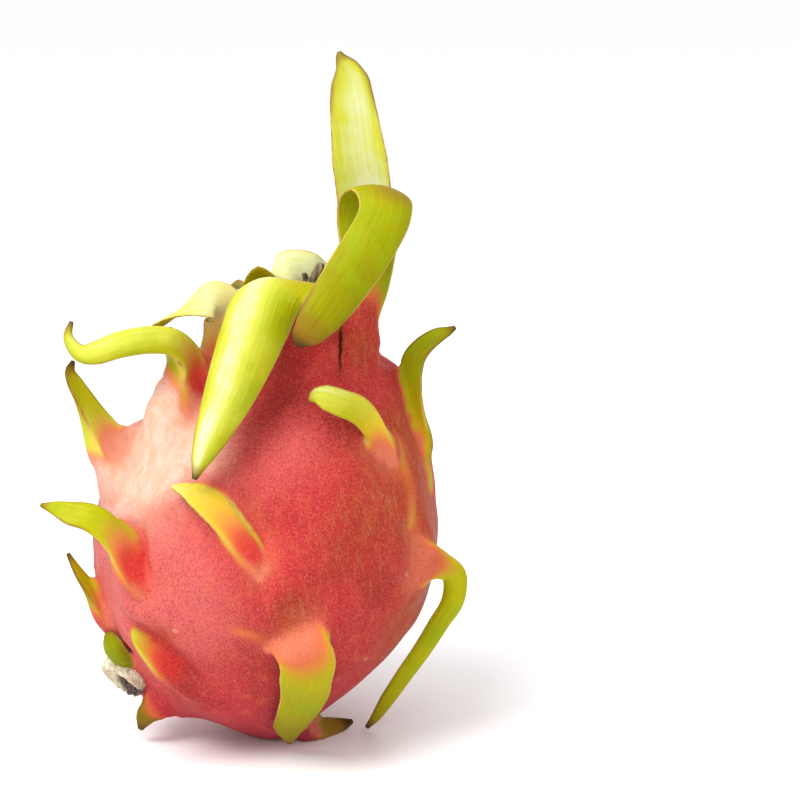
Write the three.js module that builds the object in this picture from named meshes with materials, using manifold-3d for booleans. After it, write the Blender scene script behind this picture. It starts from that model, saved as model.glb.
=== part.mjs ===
// A whole dragon fruit (pitaya), resting on a small flat spot of its skin.
//
// Frame: millimetres, +Z up, origin at the middle of the resting spot. +X runs to the right of the
// fruit's face and +Y away from it. The crown leans towards +X and the stem end towards -X.
//
// The fruit and its bracts (the leaf-like scales) grew as one piece, so they are one solid. The
// woody stub of the stem and the withered flower in the crown are solids of their own, each seated
// in a shallow socket of the fruit.
import * as THREE from "three";
import { mergeVertices } from "three/addons/utils/BufferGeometryUtils.js";
import Module from "manifold-3d";

const wasm = await Module();
wasm.setup();

// ---------------------------------------------------------------- driving dimensions
const BODY_RADIUS = 46.4; // the round part of the fruit
const BODY_CENTRE = new THREE.Vector3(0, 0, 52.4);
const BODY_SPLITS = 13; // how finely the icosahedron under the body is divided
const GAP = 0.3; // clearance between a seated piece and its socket

// Swellings of the body: direction from its centre, height in mm, spread in degrees.
const SWELLINGS = [
  { towards: [0.41, -0.03, 0.91], height: 14.5, spread: 36 }, // shoulders rising to the crown
  { towards: [0.37, 0.07, 0.93], height: -5, spread: 9 }, // dimple in the middle of the crown
  { towards: [-0.64, -0.04, -0.77], height: 5, spread: 15 }, // stem end
  { towards: [0.06, -0.3, -0.95], height: 2.8, spread: 19 }, // underside, front
  { towards: [-0.03, 0.34, -0.94], height: 4.3, spread: 19 }, // underside, back
  { towards: [0.08, 0, -1], height: 5.6, spread: 20 }, // underside, middle
  { towards: [0.57, 0, -0.82], height: -2.4, spread: 24 }, // flatter lower right side
];

// A bract is a cupped blade from its root, under the skin, to its tip.
//   path   points that its middle passes, each with the half width there, all in mm
//   faces  the way its inner side looks, as [share of the length, direction]
//   cup    half angle of its curved section, as [share of the length, degrees]
//   climb  how high up its back the skin rises, and how wide that rise is, in mm
//   bump   the swelling that it grows from: [height in mm, spread in degrees]
const BLADE_THICKNESS = [[0, 3.2], [0.3, 2.6], [1, 1]];
const BLADE_EDGE = 0.8;
const STATION_STEP = 4.5; // spacing of a bract's sections
const WIDTH_STEPS = 20; // pieces of a path between two of its points, to measure its length
const SECTION_POINTS = 4; // points across each side of a section
const BUMP = [2.5, 11];
const CLIMB_FRONT = 2.5; // width of the rise on the inner side of a bract
const CLIMB_SHARE = 0.4; // share of a bract, from its root, that the skin may climb
const CLIMB_ACROSS = [-0.8, 0, 0.8]; // where across a bract the skin takes hold of it
const FLAT = 0.3; // degrees of cup below which a section counts as flat

const CROWN_BRACTS = [
  {
    path: [
      [23.5, 4, 96.5, 5], [26.5, 13, 123.5, 5.5], [27.5, 10, 148.5, 7.5],
      [25.5, 8.5, 165, 7], [24, 7.5, 178.5, 5], [21, 6.5, 186, 0.6],
    ],
    faces: [[0, [0, -1, 0.1]]],
    cup: [[0, 25], [0.5, 30], [1, 15]],
    climb: [6, 5],
    bump: [1.5, 10],
  },
  {
    path: [
      [25.5, -5, 93, 5], [26, -12, 108.5, 5], [28.5, -11, 126.5, 6], [29, -7, 135, 7.5],
      [29, -6, 147.5, 8], [33, -15, 151.5, 7.5], [31, -25, 142.5, 7], [24, -31, 131.5, 7],
      [12, -37, 116.5, 3], [11, -37, 115, 0.6],
    ],
    faces: [
      [0, [-0.1, 1, 0.1]], [0.38, [-0.1, 1, 0.1]], [0.48, [0.18, 0, 0.95]],
      [0.6, [0.15, -0.95, 0.25]], [1, [0.2, -0.95, 0.2]],
    ],
    cup: [[0, 35], [0.35, 25], [0.45, -5], [0.5, -25], [0.65, -30], [1, -20]],
    climb: [6, 4],
    bump: [2, 10],
  },
  {
    path: [
      [13.5, -8, 93.5, 7], [14, -14, 108, 7], [11.5, -15.5, 123, 8], [5, -23, 129, 10],
      [3, -28, 127, 10], [1.5, -32, 121.5, 10], [-6.5, -42, 100.5, 7], [-15, -45, 82, 0.6],
    ],
    faces: [
      [0, [0.1, 1, 0]], [0.3, [0.1, 1, 0]], [0.42, [0.12, 0, 1]],
      [0.55, [-0.05, -0.95, 0.3]], [1, [0, -1, 0.1]],
    ],
    cup: [[0, 30], [0.25, 15], [0.34, -24], [0.44, -50], [0.6, -58], [1, -40]],
    climb: [10, 4],
  },
  {
    path: [
      [15, 6, 98, 6], [16, 9, 109, 6], [14, 8, 122.5, 8], [7, 4, 127, 8],
      [-0.1, 2.5, 125.5, 5], [-3.5, 3, 123, 0.6],
    ],
    faces: [
      [0, [0.9, -0.45, 0]], [0.42, [0.7, -0.6, 0.3]], [0.6, [0.1, -0.9, 0.4]],
      [0.76, [-0.1, -0.6, 0.75]], [0.86, [0, 0.7, 0.6]], [1, [0, 0.8, 0.5]],
    ],
    cup: [[0, 30], [0.4, 15], [0.55, -10], [1, -10]],
    climb: [8, 5],
  },
  {
    path: [
      [-12, -4, 94.5, 6], [-10, -8, 105.5, 5.5], [-9, -11, 120, 6.5],
      [-11.5, -12, 122.5, 6.5], [-28.5, -15, 115, 0.6],
    ],
    faces: [
      [0, [0.5, -0.85, 0]], [0.45, [0.4, -0.8, 0.3]], [0.6, [0.1, -0.7, 0.65]],
      [0.78, [0, -0.1, 0.95]], [1, [0, 0.6, 0.7]],
    ],
    cup: [[0, 30], [0.4, 20], [0.6, -10], [1, -15]],
    climb: [8, 6],
  },
];

const SIDE_BRACTS = [
  {
    path: [
      [-20, -16, 84, 8], [-18.5, -17, 92.5, 6], [-17.5, -17.5, 106, 4.5], [-22, -21, 113, 4],
      [-35.5, -25, 113, 3.5], [-45, -25, 110.5, 2.5], [-49, -23, 115, 1.5],
      [-48, -22, 118.5, 0.6],
    ],
    faces: [
      [0, [0.9, -0.42, 0.05]], [0.3, [0.8, -0.55, 0.2]],
      [0.5, [0, -0.87, 0.5]], [1, [0, -0.6, 0.8]],
    ],
    cup: [[0, 38], [0.35, 30], [0.5, -15], [1, -20]],
    climb: [12, 7],
    bump: [3.5, 11],
  },
  {
    path: [
      [-35.5, -15, 79, 7], [-41, -12.5, 85.5, 5.5], [-50.5, -10, 103, 2],
      [-49.5, -9, 105.5, 0.6],
    ],
    faces: [[0, [0.75, -0.55, 0.35]]],
    cup: [[0, 40], [0.5, 30], [1, 20]],
    climb: [8, 6],
    bump: [2.5, 9],
  },
  {
    path: [
      [-27, -33.5, 45, 3.5], [-33.5, -35.5, 58, 5], [-39, -35.5, 67, 4],
      [-48, -34.5, 70.5, 3.5], [-56, -32.5, 72, 0.6],
    ],
    faces: [
      [0, [0.85, -0.5, 0.2]], [0.3, [0.7, -0.6, 0.35]],
      [0.55, [0.3, -0.75, 0.55]], [0.75, [0, -0.8, 0.6]],
    ],
    cup: [[0, 38], [0.35, 28], [0.6, -10], [1, -10]],
    climb: [7, 7],
    bump: [1.5, 10],
  },
  {
    path: [
      [-39, -12, 31, 3], [-44, -13, 40, 3], [-52, -12, 53.5, 0.6],
    ],
    faces: [[0, [0.8, -0.4, 0.3]]],
    cup: [[0, 38], [1, 20]],
    climb: [2.5, 4],
    bump: [0, 8],
  },
  {
    path: [
      [36.5, -18, 74, 2], [32, -27.5, 88.5, 3], [26, -32, 97.5, 4], [18, -34, 101, 3.5],
      [14, -33, 100, 0.6],
    ],
    faces: [[0, [-0.5, -0.8, 0.1]], [0.35, [-0.35, -0.85, 0.3]], [0.6, [-0.1, -0.9, 0.4]]],
    cup: [[0, 25], [0.4, 22], [1, 15]],
    climb: [1.5, 5],
    bump: [1.5, 9],
  },
  {
    path: [
      [43.5, -4, 66, 2], [43, -8, 84, 3], [40.5, -8, 98, 4], [41.5, -5.5, 106, 3.5],
      [52, -3, 113.5, 0.6],
    ],
    faces: [[0, [-0.75, -0.6, 0.1]], [0.6, [-0.6, -0.75, 0.3]], [1, [-0.3, -0.9, 0.4]]],
    cup: [[0, 30], [0.5, 30], [1, 15]],
    climb: [3, 5],
    bump: [0, 9],
  },
  {
    path: [
      [4.5, -43, 53.5, 3], [0.2, -46, 61, 4], [-7.5, -46, 71.5, 5], [-16.5, -42, 78, 3],
      [-21, -41, 79, 0.6],
    ],
    faces: [[0, [0.45, -0.75, 0.5]]],
    cup: [[0, 20], [1, 10]],
    climb: [6, 10],
  },
  {
    path: [
      [37.5, -24, 54, 6.5], [43.5, -22, 53.5, 5], [51.5, -16.5, 49, 3.5], [51, -14, 39.5, 3],
      [43.5, -9, 25.5, 3], [34, -5, 10, 2.5], [28, -2, 1, 0.6],
    ],
    faces: [
      [0, [-0.1, -0.9, 0.45]], [0.28, [0, -0.85, 0.5]],
      [0.45, [0.4, -0.9, 0.2]], [1, [0.5, -0.85, 0]],
    ],
    cup: [[0, 25], [0.2, 15], [0.3, -15], [1, -20]],
    climb: [4, 6],
    bump: [1, 9],
  },
];

const LOW_BRACTS = [
  {
    path: [
      [0.1, -33, 43, 7], [12, -46.5, 36.5, 6], [13, -44.5, 28, 7], [12.5, -39.5, 22, 6.5],
      [8, -27, 9, 5], [7.5, -22, 3.5, 0.6],
    ],
    faces: [[0, [0, -0.9, 0.4]]],
    cup: [[0, 12], [0.3, 5], [0.5, -18], [1, -15]],
    climb: [2, 4.5],
    bump: [1, 9],
  },
  {
    path: [
      [10, -10, 5, 4], [14, -6, 2, 3.5], [24, 0, 2, 0.6],
    ],
    faces: [[0, [0, -0.5, 0.86]]],
    cup: [[0, 15], [1, 10]],
    climb: [1, 6],
    bump: [0, 10],
  },
  {
    path: [
      [-13, -26, 17, 3], [-24.5, -34, 31, 5], [-34, -32, 38, 0.6],
    ],
    faces: [[0, [0.5, -0.7, 0.5]]],
    cup: [[0, 20], [1, 15]],
    climb: [4, 6],
  },
  {
    path: [
      [-35, -9, 20.5, 2.5], [-37, -16, 24, 3], [-39.5, -18.5, 27.5, 4], [-41, -17, 33, 0.6],
    ],
    faces: [[0, [0.6, 0.75, 0.1]]],
    cup: [[0, 30], [1, 20]],
    climb: [1, 3],
    bump: [0, 8],
  },
  {
    path: [
      [-26, -11, 10.5, 3], [-31, -15, 9.5, 2.5], [-33.5, -12, 4, 0.6],
    ],
    faces: [[0, [0.3, -0.85, 0.4]]],
    cup: [[0, 30], [1, -10]],
    climb: [3, 6],
    bump: [4, 12],
  },
];

// The far side's bracts follow one rule. turn is about +Z from +X and rise above the body's middle,
// both in degrees. A bract starts up the skin, leans out by lift, curls over by curl and swings
// sideways by sway, all in degrees; length and width (of half its root) are in mm.
const FAR_BRACTS = [
  { turn: 76, rise: 62, length: 56, lift: 15, curl: 60, sway: 0, width: 10 },
  { turn: 120, rise: 58, length: 46, lift: 25, curl: 130, sway: -15, width: 9.5 },
  { turn: 62, rise: 24, length: 42, lift: 20, curl: 110, sway: 10, width: 9 },
  { turn: 88, rise: 32, length: 48, lift: 20, curl: 90, sway: -15, width: 10 },
  { turn: 130, rise: 28, length: 40, lift: 20, curl: 75, sway: -5, width: 9 },
  { turn: 60, rise: -6, length: 40, lift: 25, curl: 130, sway: -10, width: 9 },
  { turn: 103, rise: -2, length: 40, lift: 25, curl: 100, sway: 15, width: 9.5 },
  { turn: 138, rise: -4, length: 32, lift: 20, curl: 110, sway: -5, width: 8.5 },
  { turn: 50, rise: -38, length: 30, lift: 20, curl: 110, sway: 10, width: 8 },
  { turn: 86, rise: -36, length: 32, lift: 20, curl: 90, sway: -10, width: 8 },
  { turn: 130, rise: -34, length: 28, lift: 20, curl: 70, sway: 10, width: 8 },
];
const FAR_TAPER = [[0, 1], [0.25, 0.78], [0.55, 0.62], [0.8, 0.38], [1, 0.06]]; // share of width
const FAR_CUP = 36;
const FAR_CLIMB = [6, 9];
const FAR_STEPS = 6; // straight pieces in a path before it is smoothed
const FAR_ROOT_SINK = 1.5;
const FAR_CURL_START = 0.3; // share of the length where the curl sets in

// The woody stub: a chip of the stem left on at picking, longer than it is wide.
const STUB = {
  seat: new THREE.Vector3(-35.5, -10.5, 21.5), // where its axis meets the skin
  outwards: new THREE.Vector3(-0.5, -0.6, -0.62),
  along: new THREE.Vector3(0.68, -0.1, -0.73), // its long way across the stem end
  halfLength: 7,
  halfWidth: 5,
  depth: 5, // below the skin
  height: 6, // above the skin
};
const STUB_SIDES = 20;

// The withered flower: a fluted, twisted wisp standing in the crown.
const FLOWER = {
  foot: new THREE.Vector3(12.5, 2, 103),
  tip: new THREE.Vector3(16, 2, 130),
  bend: new THREE.Vector3(12.5, 2, 116), // where its path is halfway
  radii: [[0, 4.2], [0.2, 4.4], [0.45, 3.2], [0.7, 2.6], [0.9, 1.6], [1, 0.7]],
  flutes: 5,
  fluteDepth: 0.22, // share of the radius
  turns: 0.6,
};
const FLOWER_SIDES = 15;
const FLOWER_STEPS = 12;

// ---------------------------------------------------------------- small helpers
const vector = (numbers) => new THREE.Vector3(...numbers);

// Linear interpolation in a list of [position, value].
function ramp(list, at) {
  const next = list.findIndex(([position]) => position >= at);
  if (next <= 0) return list[next === 0 ? 0 : list.length - 1][1];
  const [p0, v0] = list[next - 1];
  const [p1, v1] = list[next];
  return THREE.MathUtils.mapLinear(at, p0, p1, v0, v1);
}

// A closed geometry as a manifold-3d solid.
function solidOf(geometry) {
  const bare = geometry.clone().deleteAttribute("normal").deleteAttribute("uv");
  const merged = mergeVertices(bare, 1e-4);
  const vertProperties = new Float32Array(merged.attributes.position.array);
  const triVerts = new Uint32Array(merged.index.array);
  return new wasm.Manifold(new wasm.Mesh({ numProp: 3, vertProperties, triVerts }));
}

function geometryOf(solid) {
  const mesh = solid.getMesh();
  const geometry = new THREE.BufferGeometry()
    .setAttribute("position", new THREE.BufferAttribute(new Float32Array(mesh.vertProperties), 3))
    .setIndex(new THREE.BufferAttribute(new Uint32Array(mesh.triVerts), 1));
  geometry.computeVertexNormals();
  return geometry;
}

// A closed skin over rings of equal length, with a fan at each end.
function loft(rings) {
  const count = rings[0].length;
  const points = rings.flat();
  const ends = [rings[0], rings.at(-1)].map((ring) =>
    ring.reduce((sum, p) => sum.add(p), new THREE.Vector3()).divideScalar(count),
  );
  const index = [];
  const first = points.length;
  const last = (rings.length - 1) * count;
  for (let k = 0; k < count; k += 1) {
    const next = (k + 1) % count;
    index.push(first, next, k, first + 1, last + k, last + next);
    for (let i = 0; i < last; i += count) {
      index.push(i + k, i + next, i + count + next, i + k, i + count + next, i + count + k);
    }
  }
  const positions = [...points, ...ends].flatMap((p) => p.toArray());
  return new THREE.BufferGeometry()
    .setAttribute("position", new THREE.Float32BufferAttribute(positions, 3))
    .setIndex(index);
}

// Frames along a curve, evenly spaced. Between the given faces they turn as little as possible.
function framesAlong(curve, steps, faces) {
  const frames = [];
  let normal = vector(faces[0][1]);
  for (let i = 0; i <= steps; i += 1) {
    const share = i / steps;
    const point = curve.getPointAt(share);
    const tangent = curve.getTangentAt(share);
    if (i > 0) {
      const before = frames[i - 1];
      const chord = point.clone().sub(before.point).normalize();
      normal = before.normal.clone().reflect(chord);
      const carried = before.tangent.clone().reflect(chord);
      const bisector = tangent.clone().sub(carried);
      if (bisector.lengthSq() > 1e-12) normal.reflect(bisector.normalize());
    }
    normal.addScaledVector(tangent, -normal.dot(tangent)).normalize();
    frames.push({ share, point, tangent, normal: normal.clone() });
  }
  const turns = turnsTo(faces, frames);
  return frames.map(({ share, point, tangent, normal: carried }) => {
    const inwards = carried.clone().applyAxisAngle(tangent, ramp(turns, share));
    return { share, point, tangent, inwards };
  });
}

// The turn about the path that brings each frame to the face asked for there.
function turnsTo(faces, frames) {
  let last = 0;
  return faces.map(([share, face]) => {
    const { tangent, normal } = frames[Math.round(share * (frames.length - 1))];
    const wanted = vector(face).addScaledVector(tangent, -vector(face).dot(tangent));
    const angle = Math.atan2(tangent.clone().cross(normal).dot(wanted), normal.dot(wanted));
    last = angle - 2 * Math.PI * Math.round((angle - last) / (2 * Math.PI));
    return [share, last];
  });
}

// ---------------------------------------------------------------- bracts
const pathOf = (points) =>
  new THREE.CatmullRomCurve3(points.map(([x, y, z]) => new THREE.Vector3(x, y, z)), false, "centripetal");

// The half widths of a bract, as [share of the length, mm].
function widthsAlong(bract, curve) {
  const parts = bract.path.length - 1;
  const lengths = curve.getLengths(parts * WIDTH_STEPS);
  return bract.path.map(([, , , half], i) => [lengths[i * WIDTH_STEPS] / lengths.at(-1), half]);
}

// A bract's sections: where each lies, which way it faces, how wide, curved and thick it is.
function sectionsOf(bract) {
  const curve = pathOf(bract.path);
  const steps = THREE.MathUtils.clamp(Math.round(curve.getLength() / STATION_STEP), 6, 22);
  const widths = widthsAlong(bract, curve);
  return framesAlong(curve, steps, bract.faces).map((frame) => {
    const degrees = ramp(bract.cup, frame.share);
    return {
      ...frame,
      side: frame.tangent.clone().cross(frame.inwards),
      half: ramp(widths, frame.share),
      cup: THREE.MathUtils.degToRad(Math.abs(degrees) < FLAT ? FLAT : degrees),
      thickness: ramp(BLADE_THICKNESS, frame.share),
    };
  });
}

// A point of a section: across from -1 to 1, on the inner (1) or the outer (-1) side of the blade.
function pointOn({ point, side, inwards, half, cup, thickness }, across, sign) {
  const angle = across * cup;
  const offset = (sign * (BLADE_EDGE + (thickness - BLADE_EDGE) * (1 - across ** 2))) / 2;
  return point
    .clone()
    .addScaledVector(side, (half * Math.sin(angle)) / cup - offset * Math.sin(angle))
    .addScaledVector(inwards, (half * (1 - Math.cos(angle))) / cup + offset * Math.cos(angle));
}

function ringOf(section) {
  const across = Array.from({ length: SECTION_POINTS }, (_, k) => (2 * k) / (SECTION_POINTS - 1) - 1);
  const outer = across.map((at) => pointOn(section, at, -1));
  return [...across.map((at) => pointOn(section, at, 1)), ...outer.reverse()];
}

const bractSolid = (bract) => solidOf(loft(sectionsOf(bract).map(ringOf)));

function directionOf(turn, rise) {
  const [t, r] = [turn, rise].map(THREE.MathUtils.degToRad);
  return new THREE.Vector3(Math.cos(t) * Math.cos(r), Math.sin(t) * Math.cos(r), Math.sin(r));
}

// A far-side bract in the form of the listed ones.
function grownBract({ turn, rise, length, lift, curl, sway, width }) {
  const outwards = directionOf(turn, rise);
  const crownwards = new THREE.Vector3(0.3, 0, 1);
  const up = crownwards.addScaledVector(outwards, -crownwards.dot(outwards)).normalize();
  const side = up.clone().cross(outwards);
  const [lean, roll, swing] = [lift, curl, sway].map(THREE.MathUtils.degToRad);
  const at = BODY_CENTRE.clone().addScaledVector(outwards, roundRadius(outwards) - FAR_ROOT_SINK);
  const path = [at.toArray()];
  for (let i = 1; i <= FAR_STEPS; i += 1) {
    const share = i / FAR_STEPS;
    const curled = Math.max(0, share - FAR_CURL_START) / (1 - FAR_CURL_START);
    const pitch = lean * Math.min(1, 2 * share) + roll * curled;
    const ahead = up.clone().multiplyScalar(Math.cos(pitch)).addScaledVector(outwards, Math.sin(pitch));
    ahead.multiplyScalar(Math.cos(swing * share)).addScaledVector(side, Math.sin(swing * share));
    at.addScaledVector(ahead, length / FAR_STEPS);
    path.push(at.toArray());
  }
  return {
    path: path.map((point, i) => [...point, Math.max(0.6, width * ramp(FAR_TAPER, i / FAR_STEPS))]),
    faces: [[0, outwards.negate().toArray()]],
    cup: [[0, FAR_CUP]],
    climb: FAR_CLIMB,
  };
}

// ---------------------------------------------------------------- body
// Adds to a radius the swellings seen in one direction from the centre.
function swollen(radius, direction, swellings) {
  return swellings.reduce((sum, { towards, height, spread }) => {
    const angle = direction.angleTo(towards);
    return sum + height * Math.exp(-((angle / THREE.MathUtils.degToRad(spread)) ** 2));
  }, radius);
}

const bodySwellings = SWELLINGS.map((s) => ({ ...s, towards: vector(s.towards) }));

function roundRadius(direction) {
  return swollen(BODY_RADIUS, direction, bodySwellings);
}

function bumpUnder(bract) {
  const [height, spread] = bract.bump ?? BUMP;
  return { towards: vector(bract.path[0].slice(0, 3)).sub(BODY_CENTRE), height, spread };
}

// Where the skin takes hold of a bract's back: directions from the centre and heights to rise.
function holdsOf(bract, reach) {
  const [most, width] = bract.climb;
  const rooted = sectionsOf(bract).filter(({ share }) => share < CLIMB_SHARE);
  const holds = rooted.flatMap((section) =>
    CLIMB_ACROSS.map((across) => {
      const towards = pointOn(section, across, -1).sub(BODY_CENTRE);
      const distance = towards.length();
      towards.normalize();
      const height = distance - reach(towards);
      return { towards, height, width, inwards: section.inwards };
    }),
  );
  return holds.filter(({ height }) => height > 0 && height < most);
}

// How far the skin rises in one direction to meet the bracts.
function climbTo(direction, holds) {
  return holds.reduce((most, { towards, height, width, inwards }) => {
    const apart = direction.clone().sub(towards).multiplyScalar(BODY_RADIUS);
    const fade = apart.dot(inwards) > 1 ? CLIMB_FRONT : width;
    return Math.max(most, height * Math.exp(-((apart.length() / fade) ** 2)));
  }, 0);
}

function bodySolid(bracts) {
  const bumps = bracts.map(bumpUnder);
  const reachOf = (direction) => swollen(roundRadius(direction), direction, bumps);
  const holds = bracts.flatMap((bract) => holdsOf(bract, reachOf));
  const geometry = new THREE.IcosahedronGeometry(1, BODY_SPLITS);
  const positions = geometry.attributes.position;
  for (let i = 0; i < positions.count; i += 1) {
    const direction = new THREE.Vector3().fromBufferAttribute(positions, i).normalize();
    const reach = reachOf(direction) + climbTo(direction, holds);
    const point = direction.multiplyScalar(reach).add(BODY_CENTRE);
    positions.setXYZ(i, point.x, point.y, point.z);
  }
  return solidOf(geometry);
}

// ---------------------------------------------------------------- stub and flower
// The stub's outline, turned about its axis and then squeezed; margin grows it on every side.
function stubGeometry(margin) {
  const { seat, outwards, along, halfLength, halfWidth, depth, height } = STUB;
  const profile = [
    [0, -depth - margin],
    [0.86 + margin / halfLength, -depth - margin],
    [0.97 + margin / halfLength, 0],
    [1 + margin / halfLength, height * 0.55],
    [0.9 + margin / halfLength, height],
    [0, height * 0.86],
  ].map(([x, y]) => new THREE.Vector2(x, y));
  const geometry = new THREE.LatheGeometry(profile, STUB_SIDES);
  const axis = outwards.clone().normalize();
  const long = along.clone().addScaledVector(axis, -along.dot(axis)).normalize();
  const across = long.clone().cross(axis);
  const placed = new THREE.Matrix4().makeBasis(
    long.multiplyScalar(halfLength),
    axis,
    across.multiplyScalar(halfWidth + margin * (1 - halfWidth / halfLength)),
  );
  return geometry.applyMatrix4(placed.setPosition(seat));
}

function flowerGeometry(margin) {
  const { foot, tip, bend, radii, flutes, fluteDepth, turns } = FLOWER;
  const curve = new THREE.CatmullRomCurve3([foot, bend, tip], false, "centripetal");
  const frames = framesAlong(curve, FLOWER_STEPS, [[0, [0, -1, 0]]]);
  return loft(
    frames.map(({ share, point, tangent, inwards }) => {
      const side = tangent.clone().cross(inwards);
      return Array.from({ length: FLOWER_SIDES }, (_, k) => {
        const angle = (2 * Math.PI * k) / FLOWER_SIDES;
        const flute = 1 + fluteDepth * Math.cos(flutes * (angle + 2 * Math.PI * turns * share));
        const radius = ramp(radii, share) * (margin ? 1 + fluteDepth : flute) + margin;
        return point
          .clone()
          .addScaledVector(side, radius * Math.cos(angle))
          .addScaledVector(inwards, -radius * Math.sin(angle));
      });
    }),
  );
}

// ---------------------------------------------------------------- the fruit
function fruitSolid() {
  const bracts = [...CROWN_BRACTS, ...SIDE_BRACTS, ...LOW_BRACTS, ...FAR_BRACTS.map(grownBract)];
  const whole = bracts.reduce((sum, bract) => sum.add(bractSolid(bract)), bodySolid(bracts));
  const ground = new THREE.BoxGeometry(300, 300, 60).translate(0, 0, -30);
  return [ground, stubGeometry(GAP), flowerGeometry(GAP)].reduce(
    (solid, cutter) => solid.subtract(solidOf(cutter)),
    whole,
  );
}

function finish(color, roughness) {
  return new THREE.MeshStandardMaterial({ color, roughness, metalness: 0 });
}

function named(name, geometry, material) {
  const mesh = new THREE.Mesh(geometry, material);
  mesh.name = name;
  return mesh;
}

const dragonFruit = new THREE.Group();
dragonFruit.add(
  named("fruit", geometryOf(fruitSolid()), finish(0xd8455a, 0.55)),
  named("stem_stub", stubGeometry(0), finish(0xbfb8a0, 0.9)),
  named("dried_flower", flowerGeometry(0), finish(0x6e5c48, 0.95)),
);

export default dragonFruit;
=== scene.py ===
"""The looks of a whole dragon fruit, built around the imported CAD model.

Shapes are worked out in millimetres in the CAD model's frame, and become metres in a mesh. The
fruit is one piece: its skin and its bracts (the leaf-like scales) are joined by a Boolean union,
and the seams are smoothed so that each bract grows out of the skin.
"""

import math
from dataclasses import dataclass

import bmesh
import bpy
import numpy as np
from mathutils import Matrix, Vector
from mathutils.kdtree import KDTree


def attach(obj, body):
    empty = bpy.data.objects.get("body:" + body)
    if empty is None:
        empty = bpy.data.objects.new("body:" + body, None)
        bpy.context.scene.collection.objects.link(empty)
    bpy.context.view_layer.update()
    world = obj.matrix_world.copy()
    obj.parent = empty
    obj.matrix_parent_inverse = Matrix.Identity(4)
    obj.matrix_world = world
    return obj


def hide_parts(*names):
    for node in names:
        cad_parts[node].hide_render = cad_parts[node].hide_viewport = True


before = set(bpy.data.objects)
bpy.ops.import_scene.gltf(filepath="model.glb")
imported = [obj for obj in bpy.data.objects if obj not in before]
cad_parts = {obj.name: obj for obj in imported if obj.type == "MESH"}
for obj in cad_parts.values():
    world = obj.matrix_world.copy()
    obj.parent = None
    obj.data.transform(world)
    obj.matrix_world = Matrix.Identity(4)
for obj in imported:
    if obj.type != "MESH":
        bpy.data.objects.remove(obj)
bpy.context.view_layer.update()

MM = 0.001

# ---- the fruit's form, as in the CAD
BODY_RADIUS = 46.4
BODY_CENTRE = np.array([0, 0, 52.4])
BODY_SUBDIVISIONS = 7

# Swellings: direction from the centre, height in mm, spread in degrees.
SWELLINGS = [
    ((0.41, -0.03, 0.91), 14.5, 36),  # shoulders
    ((0.37, 0.07, 0.93), -5, 9),  # dimple in the crown
    ((-0.64, -0.04, -0.77), 5, 15),  # stem end
    ((0.06, -0.3, -0.95), 2.8, 19),  # underside, front
    ((-0.03, 0.34, -0.94), 4.3, 19),  # underside, back
    ((0.08, 0, -1), 5.6, 20),  # underside, middle
    ((0.57, 0, -0.82), -2.4, 24),  # flatter lower right
    ((0.34, -0.9, -0.25), 2.5, 8),  # above the low front bract
]
# Unevenness: height in mm, seed, how many waves are summed, and how close they lie.
SKIN_WAVES = [(0.45, 3, 24, 7), (0.16, 4, 30, 22)]

# The crevice in the neck: its course, depth and width in mm, and the way that it is pressed.
CREVICE_LINE = [(21.5, -15.5, 117), (21.5, -17, 111.5), (21.5, -18, 107.5), (22, -20, 102)]
CREVICE_DEPTH = 2
CREVICE_WIDTH = 1.2
CREVICE_INWARDS = (0, 0.95, -0.3)

# How the skin meets a bract, in mm. Rises are measured along the bract from where it leaves the skin.
CREASE_RISES = (-4, 12)  # the stretch of a bract that creases the skin
CLIMB_RISES = (-12, 30)  # the stretch that the skin may climb
CLIMB_FADE = 0.55  # share of the lift at which the climb begins to fade
CLIMB_LEAST = 0.15
CLIMB_FRONT = 2.2  # how soon the skin falls away in front of a bract
CLIMB_WIDTHS = 2.2  # how many widths of a climb are worked out
SEAM_GAP = 0.002  # a vertex further than this from all that was joined is new, on a seam
SEAM_FRONT = 1.6  # either side of a seam that is smoothed, in front of a bract and behind it
SEAM_BACK = 7
SEAM_BLADE = 2.2  # the same on a bract
SEAM_ROUNDS = 60

BLADE_THICKNESS = [(0, 3.2), (0.3, 2.6), (1, 1)]
BLADE_EDGE = 0.8
STATION_STEP = 1.1  # mm between the sections of a bract
LINE_STEP = 0.5  # the same on a thin line
SECTION_POINTS = 15  # points across each side of a section
FLARE = 0.3  # widening of a bract where it leaves the skin, as a share of its width
FLARE_LENGTH = 6.0  # mm above the skin in which it dies out


@dataclass
class Bract:
    """One bract: its path from under the skin to its tip, the shape of its blade, and its looks."""

    path: list  # rows of x, y, z and the blade's half width there
    faces: list  # rows of a share of the length and the direction in which the inner side looks
    cup: list  # rows of a share and the degrees by which the blade is curled
    lift: tuple = (6, 9)  # how high the skin climbs its back, and how far from it the climb starts
    foot: tuple = (3, 7)  # thickness of the flesh there, and how high it goes
    bump: tuple = (2.5, 11)  # swelling round the root: height, and spread in degrees
    crease: tuple = (1.5, 3)  # depth of the groove in front, and its width
    flush: float = 8  # how far the red of the skin runs up the blade
    # Paleness is partly the bract's own and partly painted light and shade, across it and on its back.
    tone: tuple = (0.4, 0, 0, -0.25)  # how pale: middle, change across and along, on the back
    # A negative darkening makes a lighter stripe: on the hanging bract, a painted highlight.
    band: tuple = (0, 0)  # where across it a stripe runs, and how much darker that is
    warm: float = 0.4  # how orange the inner side is near the root; above 1 it reaches further
    blush: tuple = (0, 6)  # how crimson it is there, and how far up
    dry: float = 2.5  # how far the brown of the tip reaches


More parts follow.
